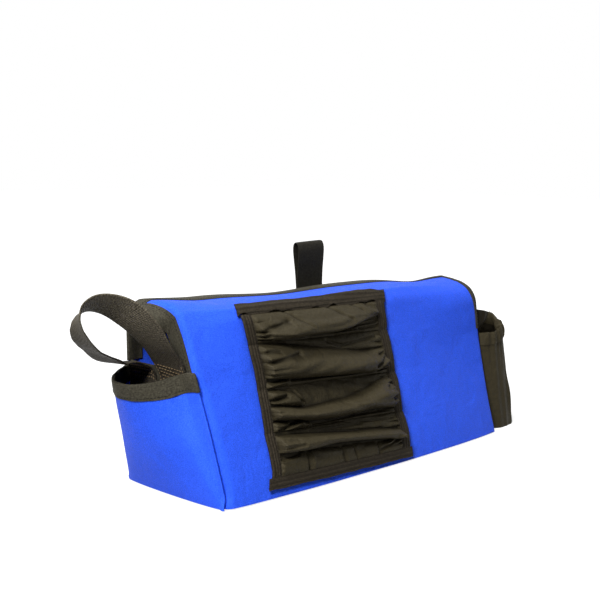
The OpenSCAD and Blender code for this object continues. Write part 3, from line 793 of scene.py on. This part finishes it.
# The billows of each sleeve: places across it, then at each of them the billow's upper and lower
# limit in per cent down the sleeve, its height, and last where between its limits the crest lies.
# A single number stands for the same limit all along.
BILLOWS = (
    (((8, 52, 83, 118, 139, 157, 190), 0, (84, 96, 89, 87, 74, 59, 40),
      (9, 14, 14.5, 14, 12.5, 10, 5), 0.7),
     ((8, 90, 118, 139, 157, 190), (95, 86, 84, 72, 57, 40), 100, (0.3, 0.4, 1.6, 2.2, 2.6, 2),
      0.45)),
    (((8, 49, 92, 128, 157, 190), (0, 5, 20, 33, 41, 36), (76, 84, 89, 92, 95, 85),
      (11, 13.5, 14.5, 14, 12, 8), 0.62),
     ((60, 92, 128, 157, 190), 0, (2, 21, 34, 42, 37), (0.3, 1.6, 2.2, 2.6, 2), 0.5),
     ((8, 60, 190), (82, 88, 90), 100, (3.2, 2.2, 2.5), 0.5)),
    (((8, 37, 56, 95, 124, 145, 167, 190), (37, 44, 51, 47, 40, 29, 12, 2),
      (70, 76, 84, 90, 85, 82, 84, 88), (10, 13, 13.5, 14, 14.5, 14, 13, 8), 0.55),
     ((8, 30, 52, 62), (3, 3, 10, 30), (30, 42, 50, 50), (5, 6, 5, 0.3), 0.55),
     ((40, 60, 124, 160, 190), 0, (50, 52, 41, 20, 3), (0.5, 0.8, 1.2, 1.2, 0.5), 0.4),
     ((8, 45, 70, 130, 190), (76, 80, 92, 86, 88), 100, (5.5, 5, 2.6, 3.2, 3.6), 0.5)),
    (((8, 40, 84, 112, 148, 190), (5, 10, 20, 27.5, 32, 46), (47, 51.7, 49, 53, 60, 76),
      (11, 12.5, 12.5, 12, 11, 8), 0.55),
     ((30, 84, 148, 190), 0, (8, 19, 31, 45), (0.8, 1.4, 1.8, 2.4), 0.5),
     ((8, 40, 190), (50, 52, 72), 100, (4.6, 3, 2.4), 0.35)),
)
# Narrow folds and grooves: from (x, per cent down) to (x, per cent down), half width, height.
FOLDS = (
    ((14, 58, 52, 33, 3, -3.6), (12, 80, 24, 72, 2.4, -3.2), (34, 78, 76, 50, 3.4, 1.6),
     (54, 2, 76, 50, 1.6, -1.7), (112, 2, 134, 42, 1.8, -1.6), (146, 3, 158, 20, 1.6, -1.3),
     (168, 5, 182, 25, 1.8, -1.6), (140, 74, 184, 66, 1.4, -1.8), (118, 93, 160, 93, 1.4, 1.6),
     (16, 93, 46, 93, 1.3, 2.2), (152, 86, 184, 84, 1.3, -1.5)),
    ((12, 43, 58, 30, 2.6, -3.2), (50, 40, 86, 32, 3.4, -1.5), (17, 12, 50, 11, 2.6, 1.4),
     (160, 80, 184, 58, 2.2, -3.8), (168, 90, 185, 76, 1.6, -2.6), (172, 56, 186, 44, 1.6, -2),
     (76, 86, 150, 62, 5, 1.3), (104, 10, 122, 24, 1.6, -2.2), (122, 24, 176, 14, 1.6, -1.8),
     (13, 98, 44, 85, 1.8, 2.6), (14, 24, 34, 22, 1.8, -1.6)),
    ((30, 5, 46, 14, 1.8, -2.4), (46, 14, 57, 44, 1.9, -3.6), (13, 28, 34, 20, 2.2, -3.4),
     (20, 12, 42, 20, 3, 1.4), (20, 99, 42, 80, 2, -3), (30, 100, 50, 84, 1.6, 1.8),
     (60, 96, 150, 89, 1.5, -2.2), (150, 89, 184, 94, 1.5, -2), (172, 34, 186, 24, 1.8, -3),
     (176, 62, 186, 54, 2, -3.2), (92, 5, 97, 40, 2.6, -0.8), (66, 10, 74, 38, 2.2, -0.9),
     (60, 66, 160, 45, 5, 1.2)),
    ((13, 64, 36, 55, 2.2, -4.2), (48, 60, 50, 97, 1.6, -1.5), (95, 56, 99, 97, 2, -1.6),
     (110, 56, 116, 95, 1.6, -1.5), (146, 66, 149, 97, 1.8, -1.6), (54, 60, 56, 95, 2.2, 1),
     (60, 10, 130, 13, 1.4, -2), (110, 2, 180, 16, 1.5, -1.8), (13, 16, 34, 24, 2, -1.8),
     (16, 34, 38, 34, 2, -1.6), (160, 76, 186, 62, 2.2, 2), (150, 90, 184, 68, 1.8, -2.2)),
)
SLEEVE_HIGH = (28.0, 40.0, 40.0, 40.0)
BILLOW_FULL, FOLD_FULL = 1.2, 1.3


def sleeve_height(number, x, r):
    """Height of a sleeve's cloth off the backing at x across and r down it. Each billow rises from
    its upper limit as a sine to 0.9 and drops past its crest as a cosine to 0.38, so its lower side
    is steep; the highest billow counts. To that come the folds, bells of the distance to a line,
    the pleats that fan out of the side tapes and die away inwards, and fine creases."""
    inner = np.zeros(np.broadcast(x, r).shape)
    for places, *curves, crest in BILLOWS[number]:
        first, last = places[0], places[-1]
        inside = ease(first - 7, first, x) * (1 - ease(last, last + 7, x))
        at = clip(x, first, last)
        a, b, high = (through(places, np.broadcast_to(c, len(places)), at) for c in curves)
        t = clip((100 * r - a) / np.maximum(b - a, 3), 0, 1)
        rise = sin(pi / 2 * clip(t / crest, 0, 1)) ** 0.9
        drop = cos(pi / 2 * clip((t - crest) / (1 - crest), 0, 1)) ** 0.38
        inner = np.maximum(inner, BILLOW_FULL * high * inside * rise * drop)
    tall = SLEEVE_HIGH[number]
    for x0, r0, x1, r1, wide, high in FOLDS[number]:
        dx, dy = x1 - x0, (r1 - r0) / 100 * tall
        px, py = x - x0, (r - r0 / 100) * tall
        t = clip((px * dx + py * dy) / (dx * dx + dy * dy), 0, 1)
        away = (px - t * dx) ** 2 + (py - t * dy) ** 2
        inner = inner + FOLD_FULL * high * exp(-away / wide ** 2)
    k = number + 1.0
    inside_r = clip(r, 0, 1)
    held = sin(inside_r * pi) ** 0.5
    for near, phase in ((x - 13, 0.0), (PANEL_WIDE - 13 - x, 1.7)):
        near = clip(near, 0, 300)
        fan, short = exp(-near / 13), exp(-near / 6)
        turn = pi * (tall / 8.0 * (r - 0.5) * (1 + 0.2 * fan) + 0.9 * k + phase)
        turn = turn + 0.8 * sin(7 * r + k + phase)
        inner = inner + fan * held * (4.4 * np.abs(sin(turn)) ** 0.8 - 3.4)
        inner = inner + short * held * 1.1 * sin(2.7 * turn + 2 * k)
    drift = 0.3 * sin(x / 37 + 2.1 * k)
    waves = sin(2 * pi * 3.1 * (r + drift) + 1.7 * k) * sin(x / 33 + 1.3 * k)
    crinkle = sin(x / 4.1 + 3 * sin(5 * r + k)) * sin(r * 15 + x / 19)
    puckers = exp(-inside_r / 0.06) + exp(-clip(1 - r, 0, 1) / 0.06)
    puckers = puckers * sin(x / 3.6 + 2 * sin(x / 13 + k))
    inner = inner + held * (0.75 * waves + 0.2 * crinkle + 0.9 * puckers)
    inner = np.maximum(inner, 0.35 * held)
    free = ease(12.5, 16.5, x) * ease(12.5, 16.5, PANEL_WIDE - x)
    return edge_swell(r) * (1 - free) + inner * free


FULL_SHADE_DEPTH = 3.0


def hollows(rise, reach=9):
    """How far each point of a grid of heights lies below the mean of the points round it, as a
    share of a deep hollow, from 0 to 1: the amount of painted shade the finish lays on it there."""
    around = np.pad(rise, reach, mode="edge")
    around = np.lib.stride_tricks.sliding_window_view(around, (2 * reach + 1,) * 2).mean((-1, -2))
    return clip((around - rise) / FULL_SHADE_DEPTH, 0, 1)


backing = add_cloth("sleeve_backing_cloth", on_panel, linspace(6, PANEL_WIDE - 4, 90),
                    linspace(5, 169, 80), (1.45, 1.05), NYLON, ["sleeve_backing"])

SEAM_OFF, SLEEVE_THICK = 2.4, 0.45
cloth_x = concatenate([
    linspace(6, 12, 5)[:-1], linspace(12, 46, 46)[:-1], linspace(46, 152, 110)[:-1],
    linspace(152, 186, 46)[:-1], linspace(186, 194, 5)])
even = linspace(0, 1, 110)
sleeve_x, sleeve_r = grid(cloth_x, 0.35 * (1 - cos(even * pi)) / 2 + 0.65 * even)
for number, (top_row, low_row) in enumerate(zip(SEAM_ROWS, SEAM_ROWS[1:])):
    rise = sleeve_height(number, sleeve_x, sleeve_r)
    row = top_row + (low_row - top_row) * sleeve_r
    row = row - 0.28 * rise * sin(sleeve_r * pi) ** 0.5
    off = SEAM_OFF + rise
    name = "sleeve_%d" % (number + 1)
    # Painted shade where the cloth lies below its surroundings: under the billows and in the folds.
    cloth = add_cloth(name + "_cloth", on_panel, sleeve_x, row, (off, off - SLEEVE_THICK), NYLON,
                      [name], scale=(1, 1.3), hollow=np.tile(hollows(rise).ravel(), 2))

# ---- Sleeve tapes ----
# The side tapes are folded over the sleeves' gathered edges and stand off with them between the
# seams. Flat tapes close the panel's top and bottom over the raw ends.

RIBBED = (cloth_finish("ribbed_tape", dark=(0.007, 0.0055, 0.004), light=(0.060, 0.049, 0.034),
                       stripe=0.0033), "binding_tape")
down = concatenate([number + linspace(0, 1, 26)[:-1] for number in range(4)] + [[4.0]])
side_row = np.interp(down, range(5), SEAM_ROWS)[:, None]
side_off = edge_swell(down % 1)[:, None]
flare = 0.4 * side_off + 0.35 * sin(side_row / 4.1) * sin(side_row / 11)
for side, wide in (("left", 10.3), ("right", 12.2)):
    side_section = fold_section(wide, 0.5, 0.6, ribs=3)
    reach_in = 14.6 - wide + side_section[:, 0] - flare
    rings = on_panel(reach_in if side == "left" else PANEL_WIDE - reach_in, side_row,
                     SEAM_OFF - 0.1 + side_off + side_section[:, 1] * 0.9)
    add_tape("sleeve_%s_tape" % side, rings, side_section, RIBBED, ["sleeve_edge_tape_" + side],
             length=165)


def flat_tape(low, high, off, ruffle):
    """Flat tape across the panel as a closed band: its section is a thin lens, and its long edges
    ripple by ruffle where the gathered cloth pulls them."""
    run = linspace(-0.8, PANEL_WIDE + 0.8, 150)[:, None]
    angle = linspace(0, 2 * pi, 24, endpoint=False)[None, :]
    across = signed_root(cos(angle), 0.5)
    ripple = ruffle * (sin(run / 6.3 + 1.5 * sin(run / 17)) + 0.4 * sin(run / 3.1))
    row = (low + high) / 2 + (high - low) / 2 * across + ripple * where(across < 0, 1.0, 0.25)
    lift = off + 0.65 * signed_root(sin(angle), 0.6)
    lift = lift + 0.35 * ripple * where(across < 0, -across, 0)
    return tube(on_panel(run, row, lift), columns(run, row))


for end, band_place in (("top", (159.2, 170.4, SEAM_OFF + 1.1, 1.5)),
                        ("bottom", (3.6, 12.6, SEAM_OFF + 1.0, 0.25))):
    add_piece("sleeve_%s_band" % end, [flat_tape(*band_place)], RIBBED, ["sleeve_%s_tape" % end])

# ---- Stitching ----
# Lockstitched rows of black thread: each stitch is a short rounded bead of thread that dips into
# the cloth at both ends.


def rows_at(at, run, table):
    """Rows of a table at lengths along it, where run gives the length at each of its own rows."""
    return np.stack([np.interp(at, run, column) for column in table.T], -1)


def bead_rows(lines, pitch=3.1, bead=2.4, thick=0.28):
    """Beads of thread along lines of points with a normal each: one every pitch by arc length,
    each a six-sided spindle whose radius is thick times the root of the sine along it."""
    sides, stations = 6, 5
    centre, ahead, lift = [], [], []
    for points, lifted in lines:
        run = run_of(points)
        at = np.arange(pitch / 2, run[-1], pitch)
        centre.append(rows_at(at, run, points))
        ahead.append(rows_at(at + 0.3, run, points) - rows_at(at - 0.3, run, points))
        lift.append(rows_at(at, run, lifted - points))
    centre, ahead, lift = (concatenate(a) for a in (centre, ahead, lift))
    ahead = unit(ahead)
    lift = unit(lift - (lift * ahead).sum(-1, keepdims=True) * ahead)
    axes = np.stack([ahead, cross(ahead, lift), lift], 1)
    t = linspace(0.04, 0.96, stations)[:, None]
    radius, angle = thick * sin(t * pi) ** 0.5, np.arange(sides) * 2 * pi / sides
    spindle = columns((t - 0.5) * bead, radius * cos(angle), radius * sin(angle))
    points = centre[:, None, None] + np.einsum("abk,nkj->nabj", spindle, axes)
    starts = np.arange(len(centre))[:, None, None] * spindle[..., 0].size
    faces = (starts + grid_faces(*spindle.shape[:2], closed=True)).reshape(-1, 4).tolist()
    for cap in (np.arange(sides)[::-1], (stations - 1) * sides + np.arange(sides)):
        faces += (starts[:, 0] + cap).tolist()
    uv = np.broadcast_to(spindle[..., :2], points.shape[:3] + (2,))
    return points.reshape(-1, 3), faces, uv.reshape(-1, 2)


def row_on(place, u, v, off):
    """A line of points on a surface and the same line lifted by 1, which gives its normal."""
    return place(u, v, off), place(u, v, off + 1.0)


THREAD = dict(threads=2500, ratio=0.5, roughness=0.6, depth=0.00005, mottle=500)
BLACK_THREAD = (cloth_finish("twisted_thread", dark=(0.004, 0.0035, 0.003),
                             light=(0.022, 0.019, 0.015), **THREAD), "thread")
on_tape = CLOTH_HALF + TAPE_THICK + LEG_BOW - 0.1
SEWN_AT, BACK_SEWN, RIM_SEWN, WALL_SEWN = 14.0, 15.0, 11.8, 12.6
run_s = linspace(WALL_TOP + 2, FLAP_END - SEWN_AT, 120)
front_rows = [
    row_on(on_front, -side_reach(run_s, True) + SEWN_AT, run_s, on_tape),
    row_on(on_front, linspace(rear_left + 15, rear_right - 15, 300), FLAP_END - SEWN_AT, on_tape),
    row_on(on_front, side_reach(run_s, False) - SEWN_AT, run_s, on_tape)]
add_piece("front_and_flap_stitching", [bead_rows(front_rows)], BLACK_THREAD, [], bend=FOLD)

body_rows = [
    row_on(back_point, linspace(-186, 186, 260), BACK_TOP - BACK_SEWN, on_tape),
    row_on(left_pocket, linspace(0.02, 0.98, 120), 1 - RIM_SEWN / RIM_HIGH, on_tape + 0.2)]
for side in (-1, 1):
    body_rows.append(row_on(partial(wall_point, side), linspace(0.05, 0.95, 60),
                            WALL_TOP - WALL_SEWN, on_tape))
add_piece("tape_stitching", [bead_rows(body_rows)], BLACK_THREAD, [])

panel_rows = [
    row_on(on_panel, linspace(from_x, PANEL_WIDE - from_x, 200), row, SEAM_OFF + off)
    for row, from_x, off in ((161.6, 2, 1.65), (168.4, 2, 1.65), (5.4, 2, 1.55), (10.6, 2, 1.55),
                             (132.0, 14, 0.15), (92.0, 14, 0.15), (52.0, 14, 0.15))]
for deep_left, deep_right in ((6.2, 4.3), (12.9, 12.9)):
    for place in (deep_left - flare, PANEL_WIDE - deep_right + flare):
        panel_rows.append(row_on(on_panel, place[:, 0], side_row[:, 0],
                                 SEAM_OFF + 1.15 + side_off[:, 0]))
add_piece("sleeve_stitching", [bead_rows(panel_rows, pitch=2.9, bead=2.2, thick=0.24)],
          BLACK_THREAD, ["sleeve_seam_stitches"])

# ---- Handle ----
# One length of 38 mm black webbing, both ends sewn side by side to the left end wall. It stands up
# in a loop, twists over its crown and comes back edge down.

STRAP_ROUTE = array([
    (-201.9, -3, 86), (-201.9, -3, 98), (-202.4, -3, 106), (-209.4, -3.1, 120.9),
    (-220.3, -3.3, 135.7), (-232.6, -1.3, 152.5), (-245.2, 3, 165.5), (-257.8, 9.5, 173.1),
    (-268.6, 15.8, 174.7), (-276.4, 20.1, 171.1), (-280.7, 22, 164.1), (-281.5, 22.6, 156.3),
    (-279.2, 22.8, 148.6), (-272.6, 24.4, 139.6), (-262.4, 28.3, 133), (-249.3, 35.4, 126.5),
    (-233.5, 42.4, 117.6), (-216.9, 41.2, 115.2), (-206.4, 40, 112.2), (-202.9, 40, 106),
    (-201.9, 40, 98), (-201.9, 40, 86)], float)
STRAP_ACROSS = array([
    (0, 1, 0), (0, 1, 0), (0, 1, 0), (-0.08, 1, -0.03), (-0.06, 1, -0.08), (-0.11, 0.95, -0.29),
    (-0.02, 0.87, -0.5), (0.23, 0.8, -0.56), (0.49, 0.72, -0.48), (0.61, 0.74, -0.27),
    (0.52, 0.85, -0.05), (0.35, 0.94, 0.06), (0.15, 0.98, 0.14), (-0.09, 0.97, 0.22),
    (-0.31, 0.92, 0.24), (-0.42, 0.89, 0.2), (-0.14, 0.99, -0.03), (0.12, 0.98, -0.16),
    (0.03, 1, 0), (0, 1, 0), (0, 1, 0), (0, 1, 0)], float)
STRAP_HALF = 19.0
RIB_PITCH = 2.6


def band(route, across, half_thick, stations, ribs):
    """Strap along a smooth route: its section is a flat oval, 38 wide across the given direction
    made square to the route. Its edges ripple by ribs. Returns rings, flat place, and frames."""
    knots = run_of(route)
    at = linspace(0, knots[-1], stations)
    middle = through(knots, route, at)
    ahead = unit(np.gradient(middle, axis=0))
    wide = through(knots, across, at)
    wide = unit(wide - (wide * ahead).sum(1, keepdims=True) * ahead)
    face = cross(ahead, wide)
    angle = linspace(0, 2 * pi, 36, endpoint=False)
    out = STRAP_HALF * signed_root(cos(angle), 0.35)
    lift = half_thick * signed_root(sin(angle), 0.55)
    rippled = 1 + ribs * sin(at * 2 * pi / RIB_PITCH)[:, None] / STRAP_HALF
    rings = (middle[:, None] + wide[:, None] * (out * rippled)[..., None]
             + face[:, None] * lift[:, None])
    return rings, columns(out, at[:, None]), (middle, wide, face, at)


# Painted light on the strap: lighter round its crown, 108 mm along, and darker towards both ends,
# where its legs are in shade.
WEBBING = (cloth_finish("webbing_black", dark=(0.006, 0.0045, 0.004), light=(0.215, 0.188, 0.136),
                        threads=420, ratio=1.35, roughness=0.5, depth=0.0008, mottle=700,
                        gloss=0.03, painted_crown_light=(0.108, 0.036)), "webbing")
strap_rings, strap_uv, (strap_middle, strap_wide, strap_face, strap_at) = band(
    STRAP_ROUTE, STRAP_ACROSS, 1.0, 330, ribs=0.12)
SWING = ("bag", "handle", (-0.2032, 0, 0.1075), (-0.2115, 0, 0.1155))
strap = add_piece("handle_strap", [tube(strap_rings, strap_uv)], WEBBING,
                  ["handle_tab_front", "handle_webbing", "handle_tab_back"], bend=SWING)


def on_strap(first, along, out, off):
    """Point of the strap's outer face along from its first or last end and out across it."""
    at = along if first else strap_at[-1] - along
    middle, wide, face = (rows_at(at, strap_at, a) for a in (strap_middle, strap_wide, strap_face))
    return middle + wide * np.asarray(out)[..., None] + face * (off if first else -off)


# Five rows of heavier stitches cross each sewn end, a little askew, and box in its sides.
end_rows = []
for first, skew in ((True, 0.13), (False, -0.052)):
    place, out = partial(on_strap, first), linspace(-15.5, 15.5, 40)
    end_rows += [row_on(place, 16 + 3.8 * row + skew * out, out, 1.15) for row in range(5)]
    end_rows += [row_on(place, linspace(14, 33, 20), side, 1.1) for side in (-16.6, 16.6)]
BROWN_THREAD = (cloth_finish("heavy_thread", dark=(0.08, 0.055, 0.03), light=(0.30, 0.22, 0.13),
                             **THREAD), "thread")
add_piece("handle_stitching", [bead_rows(end_rows, pitch=3.3, bead=2.7, thick=0.36)],
          BROWN_THREAD, ["handle_stitches"], bend=SWING)

# ---- Hanging loop ----
# A short length of the same width of smooth black tape, folded in two and sewn to the outside of
# the back panel, standing straight up behind the flap.

LOOP_ROUTE = array([
    (42, 69.4, 130), (42, 69.4, 144), (42, 69.6, 152), (42, 70.0, 162), (41.6, 69.2, 178),
    (41.1, 67.6, 192), (40.8, 67.2, 201), (40.6, 69.0, 206.3), (40.6, 71.6, 207.6),
    (40.6, 74.0, 206.0), (40.8, 75.2, 201), (41.1, 74.6, 192), (41.6, 73.0, 178), (42, 71.7, 162),
    (42, 70.95, 152), (42, 70.75, 144), (42, 70.75, 130)], float)
loop_across = np.tile([(1.0, 0.0, 0.03)], (len(LOOP_ROUTE), 1))
loop_rings, loop_uv, _ = band(LOOP_ROUTE, loop_across, 0.6, 220, ribs=0.08)
LOOP_TAPE = (cloth_finish("loop_tape", dark=(0.009, 0.008, 0.006), light=(0.028, 0.026, 0.020),
                          threads=1200, ratio=0.6, roughness=0.45, depth=0.00015, mottle=500),
             "loop_tape")
TIP = ("bag", "loop", (0, 0.0713, 0.148), (0, 0.0713, 0.157))
hanging = add_piece("hanging_loop_tape", [tube(loop_rings, loop_uv)], LOOP_TAPE,
                    ["hang_loop_tab", "hang_loop"], bend=TIP)


def on_loop(x, z, off):
    """Point off behind the loop's sewn end."""
    return columns(x, off, z)


LOOP_FACE = 71.45
loop_rows = [row_on(on_loop, linspace(26, 58, 30), level, LOOP_FACE)
             for level in (134.0, 138.0, 142.0, 146.0)]
add_piece("hanging_loop_stitching", [bead_rows(loop_rows)], BLACK_THREAD, ["hang_loop_stitches"])

# ---- Floor, light and camera ----
# A pale floor that runs out to white under a white backdrop, one soft lamp high at the left and a
# weaker one overhead. The camera is the one fitted to the bag's corners and straps.


def place_thing(name, data, side=(1, 0, 0), top=(0, 1, 0), away=(0, 0, 1), place=(0, 0, 0)):
    """New object in the scene whose own three axes point along side, top and away."""
    thing = bpy.data.objects.new(name, data)
    bpy.context.scene.collection.objects.link(thing)
    turn = np.eye(4)
    turn[:3] = np.stack([side, top, away, place], 1)
    thing.matrix_world = Matrix(turn.tolist())
    return thing


def seen_rays(tree):
    """1 for the camera's own rays and for those seen in gloss or through glass, else 0."""
    rays = add_node(tree, "LightPath")
    some = maths(tree, "ADD", rays["Is Camera Ray"], rays["Is Glossy Ray"])
    return maths(tree, "MINIMUM", maths(tree, "ADD", some, rays["Is Transmission Ray"]), 1.0)


floor_mesh = bpy.data.meshes.new("floor")
floor_mesh.from_pydata([(x, y, -0.0003) for x, y in ((-6, -6), (6, -6), (6, 6), (-6, 6))], [],
                       [(0, 1, 2, 3)])
place_thing("floor", floor_mesh)
floor_white, tree = new_finish("floor_white")
spot = add_node(tree, "TexCoord")["Object"]
far = add_node(tree, "VectorMath", {0: spot}, operation="LENGTH")["Value"]
ramp = add_node(tree, "MapRange", {"From Min": 0.3, "From Max": 1.1, "To Min": 0.84, "To Max": 1.0,
                                   "Value": far}, interpolation_type="SMOOTHSTEP")["Result"]
fill(tree, tree.nodes["Principled BSDF"],
     {"Base Color": (0.32, 0.32, 0.32, 1), "Roughness": 0.9, "Emission Color": (1, 1, 1, 1),
      "Emission Strength": maths(tree, "MULTIPLY", seen_rays(tree), ramp)})
floor_mesh.materials.append(floor_white)

world = bpy.data.worlds.new("room")
bpy.context.scene.world = world
world.use_nodes = True
tree = world.node_tree
fill(tree, tree.nodes["Background"],
     {"Color": (1, 1, 1, 1), "Strength": maths(tree, "MULTIPLY_ADD", seen_rays(tree), 0.97, 0.03)})


def soft_lamp(name, place, aim, size, power):
    """Square area lamp at place that faces aim."""
    lamp = bpy.data.lights.new(name, "AREA")
    lamp.size, lamp.energy = size, power
    away = unit(array(place, float) - array(aim, float))
    side = unit(cross([0, 0, 1], away))
    place_thing(name, lamp, side, cross(away, side), away, place)


soft_lamp("key", (-1.3, -0.5, 1.2), (0, 0, 0.08), 0.4, 46)
soft_lamp("top", (-0.35, 0.0, 1.9), (0, 0, 0.08), 0.4, 32)

AZIMUTH, ELEVATION, ROLL = (radians(angle) for angle in (47.10, 11.28, 0.92))
DISTANCE, AIM_HIGH = 1.12282, 0.08205
PICTURE_WIDE, SENSOR_WIDE = 600, 36
FOCAL, CENTRE_U, CENTRE_V = (pixels / PICTURE_WIDE for pixels in (1118.3, 329.75, 373.61))
away = array([-sin(AZIMUTH) * cos(ELEVATION), -cos(AZIMUTH) * cos(ELEVATION), sin(ELEVATION)])
side = unit(cross(-away, [0, 0, 1]))
top = cross(side, -away)
lens = bpy.data.cameras.new("camera")
lens.sensor_width, lens.lens = SENSOR_WIDE, SENSOR_WIDE * FOCAL
lens.shift_x, lens.shift_y = 0.5 - CENTRE_U, CENTRE_V - 0.5
lens.clip_start, lens.clip_end = 0.05, 50
bpy.context.scene.camera = place_thing(
    "camera", lens, cos(ROLL) * side + sin(ROLL) * top,
    cos(ROLL) * top - sin(ROLL) * side, away, away * DISTANCE + [0, 0, AIM_HIGH])
bpy.context.scene.view_settings.view_transform = "Standard"
